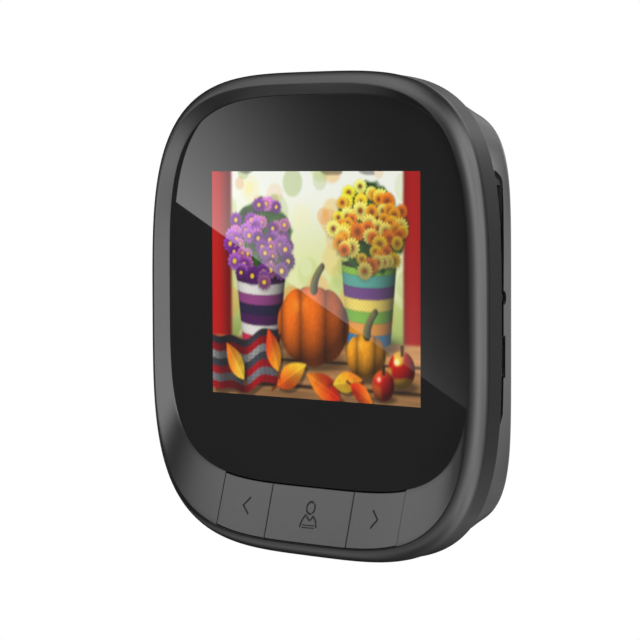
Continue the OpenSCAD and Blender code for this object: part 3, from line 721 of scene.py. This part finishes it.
    def leaf(self, cx, cy, length, width, turn, c0, c1):
        """Plain oval leaf with a toothed edge and pinnate veins."""
        ca, sa = math.cos(turn), math.sin(turn)
        u = ((self.x - cx) * ca + (self.y - cy) * sa) / length
        v = (-(self.x - cx) * sa + (self.y - cy) * ca) / width
        half = np.clip(1 - np.clip(np.abs(u), 0, 1) ** 1.9, 0, 1) * (1 - 0.22 * u)
        half = half * (0.94 + 0.06 * np.sin(u * 70))
        m = (1 - smooth(0.94, 1.02, np.abs(v) / np.maximum(half, 1e-3))) * (np.abs(u) < 1)
        sh = np.roll(np.roll(m, int(0.05 / self.px), 1), -int(0.05 / self.px), 0)
        self.dim(sh * 0.7, 0.5)
        t = smooth(-0.9, 0.9, u + 0.5 * v)[..., None]
        c = np.asarray(c0) * (1 - t) + np.asarray(c1) * t
        c = c * (0.90 + 0.16 * self.field(14, 14, int(cx * 97 + cy * 31)))[..., None] * (0.93 + 0.15 * np.tanh(3 * v))[..., None]
        self.over(m, np.clip(c, 0, 1))
        vein = 1 - smooth(0.02, 0.055, np.abs(v))
        side = 1 - smooth(0.05, 0.16, np.abs(((u * 5.5 - np.abs(v) * 1.6) % 1.0) - 0.5))
        self.over(m * np.maximum(vein * 0.7, side * 0.30), np.clip(c * 1.35 + 0.08, 0, 1))
        self.over((1 - smooth(0.012, 0.024, np.abs(v * width))) * (u < -0.98) * (u > -1.35), (0.45, 0.20, 0.08))

    def cloth(self, x0, x1, y0, y1, stripes, slope, seed):
        x, y = self.x, self.y
        wav = 0.05 * np.sin(x * 5.0 + seed) + 0.03 * np.sin(x * 11.0 + 2.0 * seed)
        yy = y - slope * (x - x0) - wav
        m = smooth(x0 - 0.02, x0, x - 0.04 * np.sin(y * 9)) * (1 - smooth(x1, x1 + 0.02, x - 0.05 * np.sin(y * 7 + 1))) * smooth(y0 - 0.01, y0 + 0.01, yy) * (1 - smooth(y1 - 0.01, y1 + 0.01, yy))
        self.dim(np.roll(np.roll(m, int(0.06 / self.px), 1), -int(0.06 / self.px), 0) * 0.7, 0.5)
        t = np.clip((yy - y0) / (y1 - y0), 0, 0.999) * len(stripes)
        c = np.asarray(stripes)[t.astype(int)]
        knit = 0.84 + 0.16 * np.sin(x * 70 + 2.0 * np.sin(yy * 130))
        fold = 0.80 + 0.26 * np.sin(x * 6.2 + 1.2 * y + seed) + 0.08 * np.sin(x * 15 + seed)
        self.over(m, np.clip(c * (knit * fold)[..., None], 0, 1))

    def paint(self):
        self.backdrop()
        self.step()
        # tall striped pot with golden flowers at the left
        self.shadow(1.02, 0.70, 0.62, 0.16)
        self.pot(0.98, 0.66, 1.62, 0.36, 0.50, [(0.86, 0.20, 0.34), (0.94, 0.92, 0.90), (0.33, 0.14, 0.36), (0.20, 0.17, 0.30), (0.62, 0.30, 0.55), (0.94, 0.92, 0.90), (0.33, 0.14, 0.36)])
        self.mound(0.98, 2.06, 0.66, 0.58, 64, (0.10, 0.155), 11, [(0.56, 0.24, 0.66), (0.46, 0.16, 0.56), (0.70, 0.40, 0.78), (0.80, 0.46, 0.72)], (0.96, 0.78, 0.20), 5)
        # low wide pot with yellow flowers at the right
        self.shadow(3.08, 0.74, 0.66, 0.16)
        self.pot(3.06, 0.72, 1.80, 0.40, 0.52, [(0.24, 0.56, 0.74), (0.95, 0.62, 0.16), (0.50, 0.74, 0.22), (0.98, 0.88, 0.40), (0.44, 0.24, 0.52), (0.36, 0.68, 0.62), (0.56, 0.78, 0.24)])
        self.mound(3.06, 2.26, 0.70, 0.60, 62, (0.11, 0.16), 14, [(0.98, 0.80, 0.16), (0.96, 0.64, 0.10), (0.99, 0.90, 0.42), (0.94, 0.50, 0.10)], (0.55, 0.26, 0.06), 8)
        # pumpkins on the step
        self.shadow(2.02, 0.52, 0.80, 0.17)
        self.pumpkin(2.00, 0.98, 0.70, 0.56, 9, (0.98, 0.47, 0.08))
        self.shadow(3.02, 0.34, 0.46, 0.11)
        self.pumpkin(3.00, 0.62, 0.38, 0.31, 7, (0.99, 0.66, 0.14))
        # knitted throw, apples and leaves in front
        self.cloth(-0.10, 1.28, 0.02, 0.74, [(0.70, 0.08, 0.12), (0.52, 0.52, 0.54), (0.74, 0.10, 0.16), (0.30, 0.30, 0.33), (0.62, 0.62, 0.62), (0.70, 0.08, 0.12), (0.26, 0.24, 0.28)], 0.10, 1.7)
        self.shadow(3.66, 0.24, 0.36, 0.09)
        self.ball(3.66, 0.46, 0.25, (0.82, 0.10, 0.08), (0.96, 0.72, 0.22), 31)
        self.shadow(3.34, 0.07, 0.26, 0.07)
        self.ball(3.32, 0.24, 0.21, (0.78, 0.08, 0.08), (0.90, 0.40, 0.14), 33)
        self.leaf(1.58, 0.30, 0.33, 0.17, 0.5, (0.93, 0.36, 0.06), (0.99, 0.74, 0.18))
        self.leaf(2.20, 0.18, 0.36, 0.18, 2.7, (0.82, 0.16, 0.06), (0.97, 0.52, 0.10))
        self.leaf(2.66, 0.26, 0.28, 0.15, 0.15, (0.98, 0.78, 0.20), (0.95, 0.52, 0.10))
        self.leaf(1.22, 0.62, 0.30, 0.15, 1.9, (0.97, 0.62, 0.12), (0.88, 0.26, 0.06))
        self.leaf(0.46, 0.44, 0.30, 0.15, 2.2, (0.99, 0.80, 0.24), (0.94, 0.48, 0.10))
        self.leaf(2.92, 0.12, 0.24, 0.12, -0.5, (0.86, 0.20, 0.06), (0.97, 0.48, 0.08))
        return np.clip(self.img, 0, 1)


def lit_picture():
    """Plate flush in the glass; its front carries the painted picture in a colour attribute."""
    k = 2
    img = Painter(NX * k, NZ * k).paint()
    img = img.reshape(NZ, k, NX, k, 3).mean((1, 3))
    img = np.clip(0.5 + (img - 0.5) * 1.06, 0, 1)
    lin = np.where(img <= 0.04045, img / 12.92, ((img + 0.055) / 1.055) ** 2.4)
    xs = np.linspace(-SW / 2, SW / 2, NX + 1)
    zs = np.linspace(SZ - SH / 2, SZ + SH / 2, NZ + 1)
    verts = [(x, Y_GLASS, z) for z in zs for x in xs]
    faces = [(j * (NX + 1) + i, j * (NX + 1) + i + 1, (j + 1) * (NX + 1) + i + 1, (j + 1) * (NX + 1) + i) for j in range(NZ) for i in range(NX)]
    loop = list(range(NX + 1)) + [j * (NX + 1) + NX for j in range(1, NZ + 1)] + [NZ * (NX + 1) + i for i in range(NX - 1, -1, -1)] \
        + [j * (NX + 1) for j in range(NZ - 1, 0, -1)]
    n0, m = len(verts), len(loop)
    verts += [(verts[i][0], Y_GLASS + 0.28, verts[i][2]) for i in loop]
    faces += [(loop[i], loop[(i + 1) % m], n0 + (i + 1) % m, n0 + i) for i in range(m)]
    faces.append(tuple(n0 + i for i in range(m)))
    me = bpy.data.meshes.new("lit_picture")
    me.from_pydata([tuple(np.array(v) * MM) for v in verts], [], faces)
    me.update()
    bm = bmesh.new()
    bm.from_mesh(me)
    bmesh.ops.recalc_face_normals(bm, faces=bm.faces)
    bm.to_mesh(me)
    bm.free()
    ob = bpy.data.objects.new("lit_picture", me)
    scene.collection.objects.link(ob)
    me.materials.append(mat_picture)
    cell = np.zeros((NZ + 1, NX + 1, 3))
    pad = np.pad(lin, ((1, 1), (1, 1), (0, 0)), mode="edge")
    cell = (pad[:-1, :-1] + pad[1:, :-1] + pad[:-1, 1:] + pad[1:, 1:]) / 4
    col = np.concatenate([cell.reshape(-1, 3), cell.reshape(-1, 3)[loop]])
    at = me.attributes.new("picture", "FLOAT_COLOR", "POINT")
    at.data.foreach_set("color", np.concatenate([col, np.ones((len(col), 1))], 1).astype(np.float32).ravel())
    uv = me.uv_layers.new(name="OFBake")
    co = np.zeros(len(me.vertices) * 3, np.float32)
    me.vertices.foreach_get("co", co)
    co = co.reshape(-1, 3)
    li = np.zeros(len(me.loops), np.int32)
    me.loops.foreach_get("vertex_index", li)
    poly_y = np.repeat([p.normal.y for p in me.polygons], [p.loop_total for p in me.polygons])
    u = (co[li, 0] / MM + SW / 2) / SW
    v = (co[li, 2] / MM - SZ + SH / 2) / SH
    front = poly_y < -0.9
    rear = poly_y > 0.9
    U = np.where(front, 0.01 + 0.98 * u, np.where(rear, 0.01 + 0.10 * u, 0.15 + 0.5 * u))
    V = np.where(front, 0.06 + 0.93 * v, np.where(rear, 0.005 + 0.04 * v, 0.02 + 0.02 * v))
    uv.data.foreach_set("uv", np.stack([U, V], 1).astype(np.float32).ravel())
    return ob


# ------------------------------------------------------------------ build
pieces = []


def place(ob, body, slot, *replaced):
    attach(ob, body)
    if replaced:
        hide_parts(*replaced)
    pieces.append(ob)
    return ob


place(front_frame(), "monitor", "shell_plastic", "front_frame")
place(rear_housing(), "monitor", "shell_plastic", "rear_housing")
place(cover_glass(), "monitor", "cover_glass", "screen_glass")
place(lit_picture(), "monitor", "screen_picture")
place(key_cap("key_left_cap", -24.975, -11.425, -18.2, icons_left), "left_key", "key_plastic", "key_left")
place(key_cap("key_center_cap", -11.175, 11.175, 0.0, icons_mid), "center_key", "key_plastic", "key_center")
place(key_cap("key_right_cap", 11.425, 24.975, 18.2, icons_right), "right_key", "key_plastic", "key_right")

# ------------------------------------------------------------------ finishes of the other nodes
steel = surface("sheet_steel", (0.55, 0.56, 0.57), 0.30, 1800.0, 0.06, 0.08, 0.15, 4e-6, 1.0, (1.0, 1.0, 14.0))
bracket_steel = surface("bracket_steel", (0.50, 0.51, 0.52), 0.36, 900.0, 0.07, 0.10, 0.25, 8e-6, 1.0, (16.0, 1.0, 1.0), 90.0)
screw_steel = surface("screw_steel", (0.30, 0.30, 0.31), 0.30, 4200.0, 0.10, 0.07, 0.2, 4e-6, 1.0, None, 500.0)
black_plastic = surface("black_plastic", (0.02, 0.02, 0.021), 0.45, 5200.0, 0.12, 0.06)
white_plastic = surface("white_plastic", (0.78, 0.77, 0.73), 0.42, 4200.0, 0.04, 0.05, 0.15, 8e-6)
cream_plastic = surface("cream_plastic", (0.72, 0.68, 0.56), 0.45, 4200.0, 0.05, 0.05, 0.15, 8e-6)
foam = surface("foam_tape", (0.03, 0.03, 0.03), 0.85, 3800.0, 0.2, 0.06, 0.6, 4e-5)
tape = surface("carrier_tape", (0.62, 0.60, 0.52), 0.6, 2600.0, 0.08, 0.06, 0.3, 2e-5)
rubber = surface("soft_rubber", (0.025, 0.025, 0.026), 0.72, 3000.0, 0.15, 0.06, 0.4, 2e-5)
ferrite = surface("ferrite", (0.10, 0.10, 0.105), 0.55, 2800.0, 0.2, 0.08, 0.5, 3e-5)
foil = surface("pouch_foil", (0.62, 0.63, 0.65), 0.34, 700.0, 0.06, 0.10, 0.5, 4e-5, 1.0, None, 160.0)
epoxy = surface("chip_epoxy", (0.018, 0.018, 0.019), 0.5, 6000.0, 0.15, 0.06, 0.3, 8e-6)
cell_dark = surface("lcd_cell", (0.03, 0.035, 0.045), 0.12, 2000.0, 0.1, 0.03, 0.03, 2e-6)
film_cone = surface("speaker_film", (0.10, 0.095, 0.085), 0.5, 3200.0, 0.12, 0.08, 0.35, 2e-5)
lens_dark = surface("lens_glass", (0.010, 0.012, 0.018), 0.04, 1500.0, 0.2, 0.015, 0.02, 1e-6, coat=1.0)
window_dark = surface("window_glass", (0.008, 0.008, 0.010), 0.05, 1500.0, 0.2, 0.02, 0.02, 1e-6, coat=1.0)


def two_leads(name, kx, kz, limit):
    """Red and black sleeves of a pair of leads that lie on either side of a line."""
    m, nt, bs, vec = new_material(name)
    sep = nt.nodes.new("ShaderNodeSeparateXYZ")
    nt.links.new(vec, sep.inputs["Vector"])
    a = nt.nodes.new("ShaderNodeMath")
    a.operation, a.inputs[1].default_value = "MULTIPLY", kx * 1000.0
    nt.links.new(sep.outputs["X"], a.inputs[0])
    b = nt.nodes.new("ShaderNodeMath")
    b.operation, b.inputs[1].default_value = "MULTIPLY_ADD", kz * 1000.0
    nt.links.new(sep.outputs["Z"], b.inputs[0])
    nt.links.new(a.outputs[0], b.inputs[2])
    g = nt.nodes.new("ShaderNodeMath")
    g.operation, g.inputs[1].default_value = "GREATER_THAN", limit
    nt.links.new(b.outputs[0], g.inputs[0])
    nt.links.new(ramp(nt, g.outputs[0], [(0.4, (0.012, 0.012, 0.013)), (0.6, (0.48, 0.02, 0.015))]), bs.inputs["Base Color"])
    fine = noise(nt, vec, 3000.0, 2.0)
    nt.links.new(span(nt, fine, 0.36, 0.48), bs.inputs["Roughness"])
    bump(nt, bs, fine, 0.15, 8e-6)
    return m


def board(name):
    """Green solder mask over fine copper tracks, with small bare pads."""
    m, nt, bs, vec = new_material(name)
    mp = nt.nodes.new("ShaderNodeMapping")
    mp.inputs["Rotation"].default_value = (math.radians(90), 0, 0)
    nt.links.new(vec, mp.inputs["Vector"])
    br = nt.nodes.new("ShaderNodeTexBrick")
    br.inputs["Scale"].default_value = 260.0
    br.inputs["Mortar Size"].default_value = 0.035
    br.inputs["Color1"].default_value = (0.010, 0.085, 0.035, 1)
    br.inputs["Color2"].default_value = (0.012, 0.100, 0.042, 1)
    br.inputs["Mortar"].default_value = (0.030, 0.190, 0.075, 1)
    nt.links.new(mp.outputs["Vector"], br.inputs["Vector"])
    vo = nt.nodes.new("ShaderNodeTexVoronoi")
    vo.inputs["Scale"].default_value = 420.0
    nt.links.new(vec, vo.inputs["Vector"])
    pad = span(nt, vo.outputs["Distance"], 1.0, 0.0, 0.16, 0.20)
    mix = nt.nodes.new("ShaderNodeMix")
    mix.data_type = "RGBA"
    nt.links.new(pad, mix.inputs["Factor"])
    nt.links.new(br.outputs["Color"], mix.inputs["A"])
    mix.inputs["B"].default_value = (0.62, 0.55, 0.34, 1)
    nt.links.new(mix.outputs["Result"], bs.inputs["Base Color"])
    fine = noise(nt, vec, 2600.0, 2.0)
    nt.links.new(span(nt, fine, 0.26, 0.38), bs.inputs["Roughness"])
    bump(nt, bs, br.outputs["Fac"], 0.2, 1e-5)
    return m


def flex_film(name):
    """Amber film with copper lines along it."""
    m, nt, bs, vec = new_material(name)
    wv = nt.nodes.new("ShaderNodeTexWave")
    wv.inputs["Scale"].default_value = 420.0
    wv.inputs["Distortion"].default_value = 0.0
    nt.links.new(vec, wv.inputs["Vector"])
    nt.links.new(ramp(nt, wv.outputs["Fac"], [(0.45, (0.36, 0.17, 0.03)), (0.55, (0.62, 0.30, 0.10))]), bs.inputs["Base Color"])
    fine = noise(nt, vec, 1800.0, 2.0)
    nt.links.new(span(nt, fine, 0.22, 0.34), bs.inputs["Roughness"])
    bump(nt, bs, wv.outputs["Fac"], 0.15, 6e-6)
    return m


pcb = board("circuit_board")
finishes = {
    "glass_adhesive": foam, "window_tape": foam, "speaker_gasket": foam, "battery_tape": tape,
    "lcd_polariser": cell_dark, "lcd_panel": cell_dark, "backlight_unit": white_plastic, "lcd_tray": steel,
    "lcd_flex": flex_film("flex_film"), "lcd_connector": cream_plastic, "battery_connector": cream_plastic,
    "main_pcb": pcb, "camera_board": pcb, "processor_chip": epoxy, "memory_chip": epoxy, "sensor_chip": epoxy,
    "power_inductor": ferrite, "tact_switches": black_plastic, "reset_switch": black_plastic,
    "plunger_left": cream_plastic, "plunger_center": cream_plastic, "plunger_right": cream_plastic,
    "tf_card_socket": steel, "micro_usb_port": steel, "usb_tongue": black_plastic, "reset_plunger": mat_key,
    "battery": foil, "battery_leads": two_leads("lead_sleeve_battery", 1.0, 1.3, 53.2),
    "speaker_basket": black_plastic, "speaker_cone": film_cone, "speaker_leads": two_leads("lead_sleeve_speaker", 0.6, 1.0, -31.3),
    "microphone": steel, "mic_boot": rubber, "camera_holder": black_plastic, "lens_barrel": black_plastic,
    "camera_lens": lens_dark, "camera_window": window_dark, "pcb_screws": screw_steel, "housing_screws": screw_steel,
    "door_bracket": bracket_steel,
}
for name, m in finishes.items():
    me = nodes[name].data
    me.materials.clear()
    me.materials.append(m)

# ------------------------------------------------------------------ stage and light
scene.view_settings.view_transform = "Standard"
scene.view_settings.look = "None"


def emission(name, colour, strength):
    m = bpy.data.materials.new(name)
    m.use_nodes = True
    nt = m.node_tree
    nt.nodes.clear()
    out = nt.nodes.new("ShaderNodeOutputMaterial")
    em = nt.nodes.new("ShaderNodeEmission")
    em.inputs["Color"].default_value = (*colour, 1)
    em.inputs["Strength"].default_value = strength
    nt.links.new(em.outputs["Emission"], out.inputs["Surface"])
    return m, nt, em


def camera_only(ob):
    ob.visible_diffuse = ob.visible_glossy = ob.visible_transmission = False
    ob.visible_volume_scatter = ob.visible_shadow = False


white, _, _ = emission("stage_white", (1.0, 1.0, 1.0), 1.0)
bm = bmesh.new()
bmesh.ops.create_icosphere(bm, subdivisions=4, radius=3.0)
dome_me = bpy.data.meshes.new("backdrop")
bm.to_mesh(dome_me)
bm.free()
dome = bpy.data.objects.new("backdrop", dome_me)
scene.collection.objects.link(dome)
dome_me.materials.append(white)
camera_only(dome)

t = np.arange(96) * 2 * math.pi / 96
floor_me = bpy.data.meshes.new("floor")
floor_me.from_pydata([(5 * math.cos(a), 5 * math.sin(a), -0.7) for a in t], [], [tuple(range(96))])
floor = bpy.data.objects.new("floor", floor_me)
scene.collection.objects.link(floor)
floor_me.materials.append(white)
camera_only(floor)

world = bpy.data.worlds.new("world")
scene.world = world
world.use_nodes = True
bg = world.node_tree.nodes["Background"]
bg.inputs["Color"].default_value = (1, 1, 1, 1)
bg.inputs["Strength"].default_value = 0.05

CENTRE = np.array([0.0, -0.012, 0.0])
# Light tent: a round cloth screen about the object, lit in soft pools. It is not seen by the camera.
# name, azimuth from the front towards the right, elevation, half width, half height, turn, brightness
POOLS = [
    ("soft_01", 28.4, 20.1, 23.3, 12.8, -53, 4.31),
    ("soft_02", 89.0, 2.4, 20.7, 10.2, -19, 2.57),
    ("soft_03", 66.9, 13.0, 18.7, 110.3, -44, 2.63),
    ("soft_04", -46.5, 13.6, 5.5, 23.9, -78, 3.21),
    ("soft_05", 100.0, 30.8, 9.5, 33.4, 1, 2.21),
    ("soft_06", -30.8, 42.0, 52.0, 11.4, 22, 1.29),
    ("soft_07", -48.0, -33.0, 4.0, 24.0, -85, 0.80),
    ("soft_08", -164.2, 8.4, 14.5, 45.5, -5, 0.70),
    ("soft_09", 146.2, 30.8, 36.7, 3.2, 64, 2.03),
    ("soft_10", 76.8, -44.0, 37.5, 43.8, 34, 3.55),
    ("soft_11", -57.8, 52.6, 18.9, 24.4, 79, 2.13),
    ("soft_12", -70.4, 14.8, 35.9, 5.9, -78, 0.29),
    ("soft_13", 20.8, -48.5, 4.3, 15.3, 13, 1.38),
    ("soft_14", 53.4, 46.3, 23.5, 23.0, 7, 4.41),
    ("soft_15", 174.4, 30.6, 8.6, 4.9, -23, 2.10),
    ("soft_16", 177.9, -21.4, 4.5, 24.8, -7, 0.69),
    ("soft_17", -176.0, 13.1, 8.0, 6.7, -2, 2.12),
    ("soft_18", -80.0, -46.0, 10.0, 9.0, 0, 0.58),
]
TENT_R = 4.0


def cloth(d):
    """Brightness of the tent in the unit directions d."""
    total = np.full(len(d), 0.0020)
    for _, az, el, wu, wv, turn, power in POOLS:
        a, e, w = math.radians(az), math.radians(el), math.radians(turn)
        c = np.array([math.sin(a) * math.cos(e), -math.cos(a) * math.cos(e), math.sin(e)])
        right = np.array([math.cos(a), math.sin(a), 0.0])
        up = np.cross(c, right)
        x, y = d @ right, d @ up
        theta = np.degrees(np.arccos(np.clip(d @ c, -1, 1))) / np.maximum(np.hypot(x, y), 1e-9)
        u = (x * math.cos(w) + y * math.sin(w)) * theta
        v = (-x * math.sin(w) + y * math.cos(w)) * theta
        total += power * np.exp(-((u / wu) ** 2 + (v / wv) ** 2))
    return total


def tent():
    cols, rows = 144, 72
    d = [(0.0, 0.0, 1.0)]
    for j in range(1, rows):
        e = math.pi / 2 - math.pi * j / rows
        d += [(math.cos(e) * math.cos(2 * math.pi * i / cols), math.cos(e) * math.sin(2 * math.pi * i / cols), math.sin(e))
              for i in range(cols)]
    d.append((0.0, 0.0, -1.0))
    last = len(d) - 1
    at = lambda j, i: 1 + (j - 1) * cols + i % cols
    f = [(0, at(1, i), at(1, i + 1)) for i in range(cols)] + [(last, at(rows - 1, i + 1), at(rows - 1, i)) for i in range(cols)]
    f += [(at(j, i), at(j + 1, i), at(j + 1, i + 1), at(j, i + 1)) for j in range(1, rows - 1) for i in range(cols)]
    d = np.array(d)
    return glowing("light_tent", CENTRE + d * TENT_R, f, cloth(d))


def glowing(name, verts, faces, level):
    me = bpy.data.meshes.new(name)
    me.from_pydata([tuple(v) for v in verts], [], faces)
    at = me.attributes.new("glow", "FLOAT_COLOR", "POINT")
    at.data.foreach_set("color", np.array([(c, c, c, 1.0) for c in level], np.float32).ravel())
    ob = bpy.data.objects.new(name, me)
    scene.collection.objects.link(ob)
    m, nt, em = emission(name + "_glow", (1, 1, 1), 1.0)
    an = nt.nodes.new("ShaderNodeAttribute")
    an.attribute_type, an.attribute_name = "GEOMETRY", "glow"
    nt.links.new(an.outputs["Color"], em.inputs["Color"])
    me.materials.append(m)
    ob.visible_camera = ob.visible_transmission = ob.visible_shadow = ob.visible_volume_scatter = False
    return ob


tent()

# Tall softbox whose edge shows as a slanting line across the glass. It is laid out from where its
# mirror image falls on the glass, and is seen in reflections only.
GLASS_Y = Y_GLASS


def mirrored(px, py, dist):
    d = pixel_ray(px, py)
    s = (GLASS_Y - CAM[1]) / d[1]
    p = CAM + d * s
    r = d * np.array([1, -1, 1])
    return p + r * dist


box_v, box_f, box_c = [], [], []
cols, rows = 40, 16
for i in range(cols + 1):
    px = 160 + (485 - 160) * i / cols
    line = 199 + (px - 172) * (410 - 199) / (468 - 172)
    for j in range(rows + 1):
        py = line + (85 - line) * j / rows
        box_v.append(mirrored(px, py, 700.0) * MM)
        # brightest at its lower left end, fading away from there
        gx, gy = px / 100, py / 100
        box_c.append(math.exp(0.137 + 0.986 * gx - 0.128 * gy - 0.673 * gx ** 2 - 0.133 * gy ** 2 + 0.6 * gx * gy))
for i in range(cols):
    for j in range(rows):
        box_f.append((i * (rows + 1) + j, (i + 1) * (rows + 1) + j, (i + 1) * (rows + 1) + j + 1, i * (rows + 1) + j + 1))
soft = glowing("softbox", box_v, box_f, box_c)
soft.visible_diffuse = False

# ------------------------------------------------------------------ close
bpy.context.view_layer.update()
